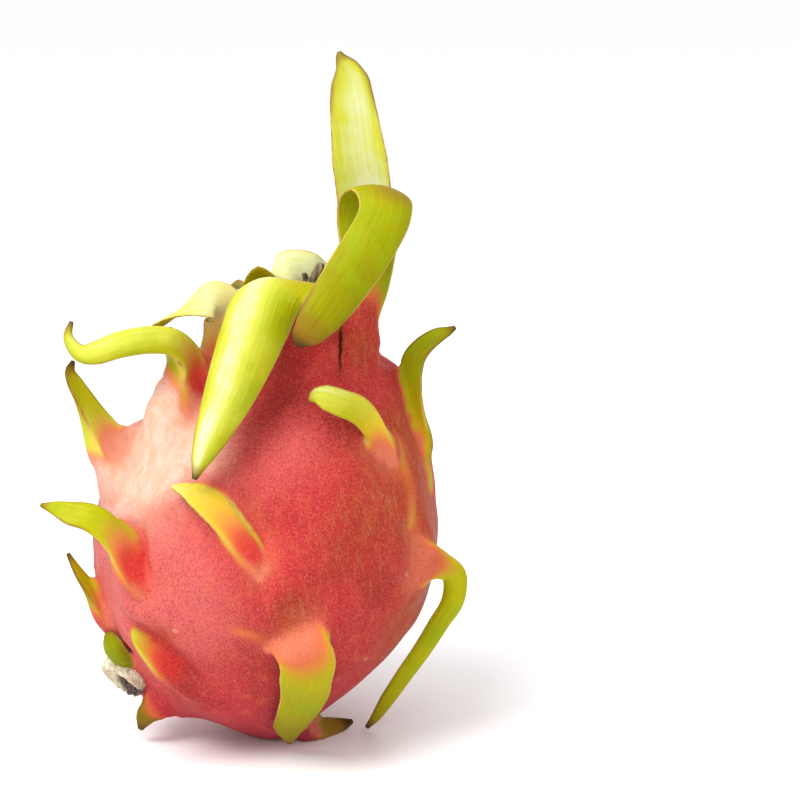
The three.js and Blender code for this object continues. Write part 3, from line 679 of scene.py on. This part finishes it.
def build_stub():
    axis = unit(STUB_OUTWARDS)
    long = square_to(axis, STUB_ALONG)
    wide = np.cross(long, axis)
    scale = np.array([STUB_HALF_LENGTH, 1])
    profile = resampled(np.array(STUB_PROFILE) * scale, STUB_RINGS) / scale
    turn = np.linspace(0, 2 * math.pi, STUB_SIDES, endpoint=False)[:, None]
    out, height = profile[:, :1, None], profile[:, 1:, None]
    x, y = out * np.cos(turn), out * np.sin(turn)
    rings = STUB_SEAT + x * STUB_HALF_LENGTH * long - y * STUB_HALF_WIDTH * wide + height * axis
    places = rings.reshape(-1, 3)
    from_pith = np.hypot(x - PITH_CENTRE[0], y - PITH_CENTRE[1]) / PITH_SIZE
    pith = (smoothstep(1.1, 0.7, from_pith) * (height > PITH_FROM)).reshape(-1)
    ragged = rough(places, STUB_WAVES) + pith * (rough(places, PITH_WAVES) - PITH_SINK)
    upright = np.clip(height / STUB_HEIGHT, 0, 1)
    up = upright * axis + (1 - upright) * unit(rings - STUB_SEAT)
    stub = lofted("woody_stub", rings + ragged.reshape(rings.shape[:2])[..., None] * up)
    write(stub.data, "pith", "FLOAT", "value", pith)
    return stub


def build_flower():
    strips = []
    height, seed, *waves = WRINKLES
    turn = np.linspace(0, 2 * math.pi, FLOWER_SIDES, endpoint=False)[None]
    for i, (path, radius, flat) in enumerate(FLOWER_STRIPS):
        points = smooth_path(path, LINE_STEP)[0]
        tangents, inwards = frames_along(points, [(0, 0, -1, 0)])
        side = np.cross(tangents, inwards)[:, None]
        share = np.linspace(0, 1, len(points))[:, None]
        twist = 2 * math.pi * FLOWER_TURNS * share
        flute = 1 + FLUTE_DEPTH * np.cos(FLOWER_FLUTES * (turn + twist))
        size = radius * (1 - FLOWER_TAPER * share**1.3) * flute
        across, deep = size * np.cos(turn), size * flat * np.sin(turn)
        rings = points[:, None] + across[..., None] * side - deep[..., None] * inwards[:, None]
        wrinkled = rough(rings.reshape(-1, 3), [(height, seed + i, *waves)]).reshape(rings.shape[:2])
        rings = rings + wrinkled[..., None] * unit(rings - points[:, None])
        strips.append(lofted(f"strip_{i}", rings))
    flower = strips[0]
    joined(flower, strips[1:])
    flower.name = "withered_flower"
    return flower


# ---- where each colour lies
MASK_ROUNDS = {"tint": 3, "mark": 12, "blade": 6, "place": 1}

# Soft patches of colour on the skin: centre in mm, radius in mm, strength.
PATCHES = {
    # Peach: the skin's own paler colour on the upper left, and partly a painted highlight where light falls
    # there.
    "peach_and_painted_light": [
        ((-30, -22, 82), 19, 1), ((-39, -22, 66), 15, 0.1), ((-25, -12, 96), 13, 0.4),
        ((-18, -30, 88), 12, 0.5),
    ],
    # Pink: lighter pink skin, and partly a painted sheen on the bulges of the front.
    "pink_and_painted_sheen": [
        ((-38, -30, 48), 22, 0.9), ((-22, -42, 58), 18, 0.75), ((-30, -20, 30), 14, 0.5),
        ((-5, 40, 50), 30, 0.4), ((10, -35, 88), 11, 0.45), ((1, -38, 79), 9, 0.25),
        ((-12, -44, 40), 14, 0.3), ((14, -42, 94), 6, 0.6), ((16, -44, 87), 6, 0.5),
        ((34, -24, 102), 5, 0.6), ((37, -26, 92), 5, 0.6),
    ],
    # Olive: the skin's own brownish-olive mottling; the two broad patches on the lower right are painted
    # shade.
    "olive_and_painted_shade": [
        ((36, -28, 74), 17, 0.6), ((27, -15, 111), 8, 0.7), ((40, -18, 90), 9, 0.8),
        ((42, -16, 77), 8, 0.7), ((43, -14, 63), 8, 0.5), ((46, -10, 45), 22, 0.4),
        ((38, -20, 36), 13, 0.5), ((20, -40, 62), 12, 0.25), ((10, -45, 46), 7, 0.6),
        ((-24, -37, 39), 4.5, 0.6), ((0, -45, 72), 5, 0.5), ((-30, 34, 70), 16, 0.4),
    ],
    "rose": [
        ((0, 0, 0), 34, 0.85), ((20, -40, 90), 11, 0.25), ((10, 30, 20), 24, 0.4),
        ((36, -13, 152), 7, 0.8), ((12, -37, 117), 6.5, 1),
    ],
    # The crimson patch on the neck, under the hanging bract, is painted light: it brightens skin in that
    # bract's shade.
    "crimson_and_painted_light": [((12, -16, 109), 7, 0.8)],
}
# Where the margins of some bracts run on down the skin, as colour alone: line, width and strength.
RIDGES = [
    ([(43.5, -13, 88), (44.8, -11.3, 84.5), (45.5, -10.5, 78), (45.8, -10, 71)], 1.8, 1.1),
    ([(36, -20, 86), (37.5, -21.5, 80), (39, -22, 72), (40, -23, 64)], 1.8, 0.9),
    ([(-6, -45, 41.6), (-2.4, -45.5, 41.2), (0.7, -45.8, 40.1), (3.2, -45.8, 38.3),
      (5.5, -46.5, 36.3)], 1.2, 0.6),
]
FLUSH_WAVES = [(0.12, 7, 20, 0.3)]  # where red turns to green
FLUSH_EDGES = 0.8  # how much sooner than its middle a blade turns green along its edges
SIDE_EDGE = 0.97  # share of the half width beyond which a point counts as on the edge
EDGE_FROM = 0.84  # the same for the pale margin
STRIPE_WIDTH = 0.3  # share of the half width
BROWN_EDGE = (24, 8)  # mm from the tip between which the margins turn brown
BROWN_DRY = 3  # mm of dry tip that goes with fully brown margins
WARM_REACH = 10  # mm up a bract's inner side
WARM_FRONT = 5  # mm in front of a bract
BLUSH_FRONT = 2.5


def fruit_masks(points, on_blade, tag, bracts):
    """Strengths, from 0 to 1, of what the skin's material mixes."""
    number = np.where(on_blade, tag["number"], tag["root"]).astype(int)
    rise, across, ahead, to_blade = (tag[name] for name in ("rise", "across", "ahead", "to_blade"))
    inner = tag["side"] > 0
    blade = on_blade.astype(float)

    def said(name):
        """What each vertex's bract says: one array, or one for each of several values."""
        return np.array([getattr(bract, name) for bract in bracts], float)[number].T

    soft = {}
    for name, rows in PATCHES.items():
        total = sum(k * bell(np.linalg.norm(points - c, axis=1), r) for c, r, k in rows)
        soft[name] = np.clip(total, 0, 1)

    # Where the red of the skin ends, and how pale the green is.
    ragged = rough(points, FLUSH_WAVES) + FLUSH_EDGES * across**6
    begin, end = np.where(inner, 0, 0.45), np.where(inner, 1.5, 1.15)
    leaf = blade * smoothstep(begin, end, rise / (np.where(inner, 1.2, 1) * said("flush")) + ragged)
    for line, width, strength in RIDGES:
        leaf = np.maximum(leaf, strength * near_line(line, width, points))
    # Paleness: partly painted light and shade, paler where light falls and darker on the back.
    pale, pale_across, pale_along, pale_behind = said("tone")
    tone = pale + pale_across * across + pale_along * tag["share"] + np.where(inner, 0, pale_behind)
    # A lighter stripe, as on the hanging bract, is a painted highlight.
    stripe, darker = said("band")
    tone = tone - darker * bell(across - stripe, STRIPE_WIDTH)

    # Light margins, and the brown of the tip and of the margins near it.
    edge = blade * smoothstep(EDGE_FROM, 1, np.abs(across)) * smoothstep(1, 6, rise)
    to_tip = tag["to_tip"] + 0.6 * (1 - across**2)
    dry = blade * smoothstep(1.2, 0.1, to_tip / said("dry"))
    browning = np.minimum(1, said("dry") / BROWN_DRY) * smoothstep(*BROWN_EDGE, tag["to_tip"])
    dry = np.maximum(dry, 0.8 * browning * edge)

    # Orange and crimson at the root, on the inner side and on the skin in front of it.
    warm = said("warm")
    on_skin = (1 - blade) * bell(to_blade, WARM_FRONT) * smoothstep(-3, 2, ahead)
    on_leaf = blade * inner * bell(np.maximum(rise, 0), WARM_REACH * np.maximum(warm, 1))
    warm = warm * on_leaf + np.minimum(warm, 0.5) * on_skin
    blush, stretch = said("blush")
    on_skin = (1 - blade) * bell(to_blade, BLUSH_FRONT) * smoothstep(-0.5, 1, ahead)
    on_leaf = smoothstep(1, 0.3, np.abs(rise - 0.3 * stretch) / stretch) * (1 - across**4)
    # This mask holds the bracts' own crimson roots and the painted light of the patch on the neck.
    crimson_and_painted_light = soft["crimson_and_painted_light"] + blush * (on_leaf * blade * inner + on_skin)
    masks = {
        "tint": [soft["pink_and_painted_sheen"], soft["peach_and_painted_light"], soft["olive_and_painted_shade"]],
        "mark": [soft["rose"], np.clip(warm, 0, 1), np.clip(crimson_and_painted_light, 0, 1)],
        "blade": [leaf, np.clip(tone, 0, 1), dry],
        "place": [edge, rise, tag["sideways"]],
    }
    return {name: np.column_stack(channels) for name, channels in masks.items()}


# ---- materials
LIGHT = 1.45  # how much brighter than its own colour a surface looks in the studio's light


def seen(red, green, blue):
    """The colour, linear, of a surface that looks like this sRGB colour (0 to 255) in the light."""
    channels = [((c / 255 + 0.055) / 1.055) ** 2.4 if c > 10 else c / 3295 for c in (red, green, blue)]
    return tuple(c / LIGHT for c in channels) + (1,)


class Shader:
    """A material under construction. Most methods add a node and return its output socket."""

    def __init__(self, name):
        self.material = bpy.data.materials.new(name)
        self.material.use_nodes = True
        self.tree = self.material.node_tree
        self.surface = self.tree.nodes["Principled BSDF"]
        where = {0: self.add("TexCoord").outputs["Object"], "Scale": 1 / MM}
        self.place = self.add("VectorMath", where, operation="SCALE").outputs[0]  # millimetres

    def put(self, socket, value):
        if isinstance(value, bpy.types.NodeSocket):
            self.tree.links.new(value, socket)
        else:
            socket.default_value = value

    def add(self, kind, inputs=None, **settings):
        """A node, with what goes into its inputs by name or number, and its settings."""
        node = self.tree.nodes.new("ShaderNode" + kind)
        for key, value in settings.items():
            setattr(node, key, value)
        for key, value in (inputs or {}).items():
            self.put(node.inputs[key], value)
        return node

    def scaled(self, x, y, z):
        inputs = {0: self.place, 1: (x, y, z)}
        return self.add("VectorMath", inputs, operation="MULTIPLY").outputs[0]

    def masks(self, name):
        read = self.add("Attribute", attribute_name=name)
        return self.add("SeparateColor", {0: read.outputs["Color"]}).outputs[:3]

    def math(self, operation, a, b=0, c=0, clamp=False):
        node = self.add("Math", {0: a, 1: b, 2: c}, operation=operation, use_clamp=clamp)
        return node.outputs[0]

    def times(self, product, *factors):
        for factor in factors:
            product = self.math("MULTIPLY", product, factor)
        return product

    def linear(self, value, factor, plus, clamp=False):
        return self.math("MULTIPLY_ADD", value, factor, plus, clamp)

    def step(self, value, low, high):
        inputs = {"Value": value, "From Min": low, "From Max": high}
        return self.add("MapRange", inputs, interpolation_type="SMOOTHSTEP").outputs[0]

    def noise(self, scale, detail=3, roughness=0.6, place=None):
        inputs = {"Vector": place or self.place, "Scale": scale, "Detail": detail, "Roughness": roughness}
        return self.add("TexNoise", inputs).outputs[0]

    def cells(self, scale):
        """The distance from the nearest cell's middle, and that cell's random colour."""
        node = self.add("TexVoronoi", {"Vector": self.place, "Scale": scale})
        return node.outputs["Distance"], node.outputs["Color"]

    def mix(self, factor, a, b):
        return self.add("Mix", {0: factor, 6: a, 7: b}, data_type="RGBA").outputs[2]

    def painted(self, colour, layers):
        """The colour under layers: rows of how much one covers, and its colour."""
        for share, layer in layers:
            colour = self.mix(share, colour, layer)
        return colour

    def blend(self, factor, stops):
        node = self.add("ValToRGB", {0: factor})
        elements = node.color_ramp.elements
        while len(elements) < len(stops):
            elements.new(0.5)
        for element, (position, colour) in zip(elements, stops):
            element.position = position
            element.color = colour
        return node.outputs[0]

    def bump(self, height_mm):
        inputs = {"Height": self.times(height_mm, MM), "Distance": 1}
        self.put(self.surface.inputs["Normal"], self.add("Bump", inputs).outputs[0])

    def finish(self, colour, roughness, **constants):
        self.put(self.surface.inputs["Base Color"], colour)
        self.put(self.surface.inputs["Roughness"], roughness)
        for key, value in constants.items():
            self.surface.inputs[key.replace("_", " ")].default_value = value
        return self.material


CORAL = seen(210, 60, 60)
DUSK = seen(180, 54, 46)
PINK = seen(230, 106, 102)
PEACH = seen(238, 180, 146)
CREAM = seen(244, 206, 186)
OLIVE = seen(190, 74, 38)
MOSS = seen(158, 128, 56)
ROSE = seen(196, 62, 84)
SALMON = seen(244, 136, 100)
CRIMSON = seen(234, 64, 58)
EMBER = seen(236, 122, 66)
GLOW = seen(244, 140, 138)
# Painted shade in the crevice.
CREVICE_SHADE = seen(70, 14, 12)
FLECK = seen(138, 26, 28)
BLISTER = seen(240, 170, 130)
LEAF_TONES = [
    (0, seen(118, 112, 2)), (0.25, seen(158, 154, 2)), (0.5, seen(190, 188, 8)),
    (0.75, seen(220, 222, 80)), (1, seen(240, 244, 208)),
]
SPRING = seen(150, 178, 10)
AMBER = seen(242, 188, 40)
RUST = seen(150, 100, 30)
MARGIN = seen(220, 184, 90)
BROWN = seen(128, 92, 30)
DRY = seen(84, 62, 30)
BARK = [(0.3, seen(220, 202, 164)), (0.5, seen(255, 243, 208)), (0.7, seen(265, 258, 236))]
BARK_DIRT = seen(92, 78, 58)
PITH = seen(130, 108, 94)
PITH_PORES = seen(30, 22, 20)
PITH_DIRT = seen(44, 34, 30)
STRAW = [(0.3, seen(84, 72, 50)), (0.5, seen(140, 126, 92)), (0.7, seen(190, 178, 140))]
STRAW_GREEN = seen(74, 70, 36)

# Painted shade: the lower right is darker, by how far x lies beyond the slope times z, in mm.
SHADE_LOW_RIGHT_SLOPE = 0.6
SHADE_LOW_RIGHT = (-8, 20)
BLISTER_SCALE = 0.1  # cells in a mm
# Painted shade: the dark line in the crevice, in mm: where it lies and how far it wanders, then
# where it fades, to both sides, at the bottom, at the top and away from the front.
CREVICE_X = 22.4
CREVICE_WANDER = 1.6
CREVICE_SIDES = (0.6, 0.15)
CREVICE_BOTTOM = (101, 109)
CREVICE_TOP = (119, 117)
CREVICE_FRONT = (-11, -14)
FIBRES = (1.1, 0.06)  # how close the fibres lie, and how soon they change along the blade


def skin_colour(s, uneven):
    """Red skin in soft patches, mottled, streaked upwards, finely flecked, with a few blisters."""
    pink_and_painted_sheen, peach_and_painted_light, olive_and_painted_shade = s.masks("tint")
    rose, warm, crimson_and_painted_light = s.masks("mark")
    x, y, z = s.add("SeparateXYZ", {0: s.place}).outputs
    broad = s.noise(0.045, 3, 0.55)
    mottle = s.noise(0.3, 4, 0.65, s.scaled(1, 1, 0.6))
    streaks = s.noise(0.75, place=s.scaled(1, 1, 0.12))
    red = s.linear(peach_and_painted_light, -0.85, 1)

    def patch(mask):
        return s.step(s.linear(uneven, mask, mask), 0.02, 0.9)

    # Painted shade on the lower right; the dusky mask also holds random darker patches.
    shade_low_right = s.step(s.linear(z, -SHADE_LOW_RIGHT_SLOPE, x), *SHADE_LOW_RIGHT)
    dusky_and_shaded = s.math("MAXIMUM", s.step(broad, 0.42, 0.62), shade_low_right)
    mossy = s.mix(s.times(s.step(streaks, 0.5, 0.66), 0.5), OLIVE, MOSS)
    pale = s.mix(s.step(mottle, 0.25, 0.75), PEACH, CREAM)
    glow = s.step(s.noise(1.9, 3, 0.75), 0.52, 0.66)
    flecks = s.step(s.noise(2.2, 3, 0.75, s.scaled(1, 1, 0.8)), 0.52, 0.4)
    flecks = s.times(flecks, s.linear(warm, -0.6, 1), 0.55, red, s.math("ADD", broad, 0.4))
    distance, random = s.cells(BLISTER_SCALE)
    chosen = s.step(s.add("SeparateColor", {0: random}).outputs[0], 0.6, 0.62)
    aside = s.math("ABSOLUTE", s.math("SUBTRACT", s.linear(mottle, CREVICE_WANDER, x), CREVICE_X))
    ends = s.times(s.step(z, *CREVICE_BOTTOM), s.step(z, *CREVICE_TOP))
    return s.painted(CORAL, [
        # Random dusky patches, and painted shade on the lower right.
        (s.times(dusky_and_shaded, 0.75), DUSK),
        (patch(rose), ROSE),
        # Pink skin, partly painted sheen.
        (patch(pink_and_painted_sheen), PINK),
        # Olive mottling, partly painted shade on the lower right.
        (patch(olive_and_painted_shade), mossy),
        (s.times(s.step(mottle, 0.5, 0.7), 0.26, red), EMBER),
        (s.times(s.step(mottle, 0.46, 0.3), 0.22, red), FLECK),
        # Peach and cream on the upper left, partly painted highlight.
        (patch(peach_and_painted_light), pale),
        (s.times(s.step(streaks, 0.52, 0.7), 0.14), SALMON),
        (patch(warm), SALMON),
        # Crimson roots of the bracts, and the painted light of the patch on the neck.
        (s.step(crimson_and_painted_light, 0.05, 0.8), CRIMSON),
        (s.times(glow, 0.4, red), GLOW),
        (flecks, FLECK),
        (s.times(s.step(distance, 0.12, 0.05), chosen, 0.5), BLISTER),
        # Painted shade: the dark line down the crevice.
        (s.times(s.step(aside, *CREVICE_SIDES), ends, s.step(y, *CREVICE_FRONT)), CREVICE_SHADE),
    ])


def leaf_colour(s, uneven, grain, fibre, rise):
    """Green blades with fibres along them, amber roots, rusty dots, light margins, dry tips."""
    rose, warm = s.masks("mark")[:2]
    tone, dry = s.masks("blade")[1:]
    edge = s.masks("place")[0]
    tone = s.math("ADD", tone, s.linear(fibre, 0.24, -0.12))
    spring = s.times(s.step(s.noise(0.11), 0.44, 0.62), s.step(tone, 0.95, 0.4), 0.4)
    rosy = s.step(s.linear(uneven, rose, rose), 0.15, 0.6)
    worn = s.times(s.step(s.noise(0.5), 0.42, 0.6), s.step(rise, 9, 16))
    drying = s.linear(uneven, dry, dry)
    # The leaf tones follow paleness, which is partly painted light and shade.
    green = s.blend(s.linear(uneven, 0.4, tone, clamp=True), LEAF_TONES)
    return s.painted(green, [
        (spring, SPRING),
        (s.times(warm, 0.85), AMBER),
        (s.times(rosy, 0.6), RUST),
        (s.times(s.step(grain, 0.64, 0.78), 0.45), RUST),
        (s.times(s.step(edge, 0.4, 0.8), 0.8), MARGIN),
        (s.times(s.step(edge, 0.75, 0.98), worn), BROWN),
        (s.times(s.step(drying, 0.02, 0.4), 0.6), RUST),
        (s.step(drying, 0.3, 0.95), DRY),
    ])


def fruit_material():
    s = Shader("dragon_fruit_skin")
    leaf = s.masks("blade")[0]
    rise, sideways = s.masks("place")[1:]
    patchy = s.noise(0.09, 4)
    grain = s.noise(0.9, 3, 0.65)
    uneven = s.linear(patchy, 0.8, -0.4)
    close, long = FIBRES
    fibres = s.add("CombineXYZ", {0: s.times(sideways, close), 1: s.times(rise, long)}).outputs[0]
    fibre = s.noise(1, place=fibres)
    skin = s.mix(s.times(s.step(leaf, 0, 0.5), 0.7), skin_colour(s, uneven), EMBER)
    green = leaf_colour(s, uneven, grain, fibre, rise)
    pores = s.linear(s.noise(1.6, 2), 0.16, s.times(patchy, 0.5))
    s.bump(s.linear(s.times(fibre, 0.25), leaf, s.times(pores, s.linear(leaf, -1, 1))))
    return s.finish(
        s.mix(s.step(leaf, 0.25, 0.95), skin, green), s.linear(grain, 0.22, 0.36),
        Specular_IOR_Level=0.06, Subsurface_Weight=0.05, Subsurface_Radius=(1, 0.35, 0.2),
        Subsurface_Scale=0.0025,
    )


def stub_material():
    s = Shader("stem_wood")
    grain = s.noise(1.4, 4, 0.65)
    bark = s.blend(s.noise(0.35), BARK)
    bark = s.mix(s.times(s.step(grain, 0.5, 0.66), 0.75), bark, BARK_DIRT)
    pores = s.cells(1.6)[0]
    pith = s.mix(s.step(pores, 0.25, 0.5), PITH_PORES, PITH)
    pith = s.mix(s.step(grain, 0.45, 0.6), pith, PITH_DIRT)
    s.bump(s.linear(grain, 0.5, s.times(pores, 0.3)))
    shown = s.add("Attribute", attribute_name="pith").outputs["Fac"]
    return s.finish(s.mix(shown, bark, pith), s.linear(grain, 0.2, 0.7))


def flower_material():
    s = Shader("dry_flower")
    grain = s.noise(0.9, 4, 0.65, s.scaled(1, 1, 0.35))
    strip = s.mix(s.step(s.noise(0.3), 0.5, 0.62), s.blend(grain, STRAW), STRAW_GREEN)
    s.bump(s.times(grain, 0.5))
    return s.finish(strip, s.linear(grain, 0.2, 0.68))


# ---- stage
def look(thing, aim, distance, turn, rise):
    """Puts a camera or a lamp so many mm from its aim, in a direction from there."""
    away = Vector(direction(turn, rise))
    thing.location = (Vector(aim) + distance * away) * MM
    thing.rotation_euler = (-away).to_track_quat("-Z", "Y").to_euler()


def placed(piece, node, material):
    """A finished piece that takes the place of one part of the CAD."""
    piece.data.polygons.foreach_set("use_smooth", [True] * len(piece.data.polygons))
    piece.data.materials.clear()
    piece.data.materials.append(material)
    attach(piece, "root")
    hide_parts(node)


placed(build_fruit(), "fruit", fruit_material())
placed(build_stub(), "stem_stub", stub_material())
placed(build_flower(), "dried_flower", flower_material())

camera = added("camera", bpy.data.cameras.new("camera"))
camera.data.lens = 116.67
camera.data.sensor_width = 36
look(camera, aim=(37.2, 0, 93), distance=700, turn=-90, rise=12)
bpy.context.scene.camera = camera

# One soft round lamp, high up behind the camera's left side, and light from all round.
lamp = bpy.data.lights.new("key", "AREA")
lamp.shape = "DISK"
lamp.size = 0.6
lamp.energy = 9
look(added("key", lamp), aim=(0, 0, 60), distance=900, turn=-134, rise=55)
world = bpy.data.worlds.new("studio")
world.use_nodes = True
background = world.node_tree.nodes["Background"]
background.inputs["Color"].default_value = (1, 1, 1, 1)
background.inputs["Strength"].default_value = 1.08
bpy.context.scene.world = world
bpy.context.scene.view_settings.view_transform = "Standard"

FLOOR = np.array([(-1, -1, 0), (1, -1, 0), (1, 1, 0), (-1, 1, 0)]) * 8000  # mm
floor = new_object("floor", FLOOR, [(0, 1, 2, 3)])
floor.data.materials.append(Shader("floor").finish((0.9, 0.9, 0.9, 1), roughness=0.6))
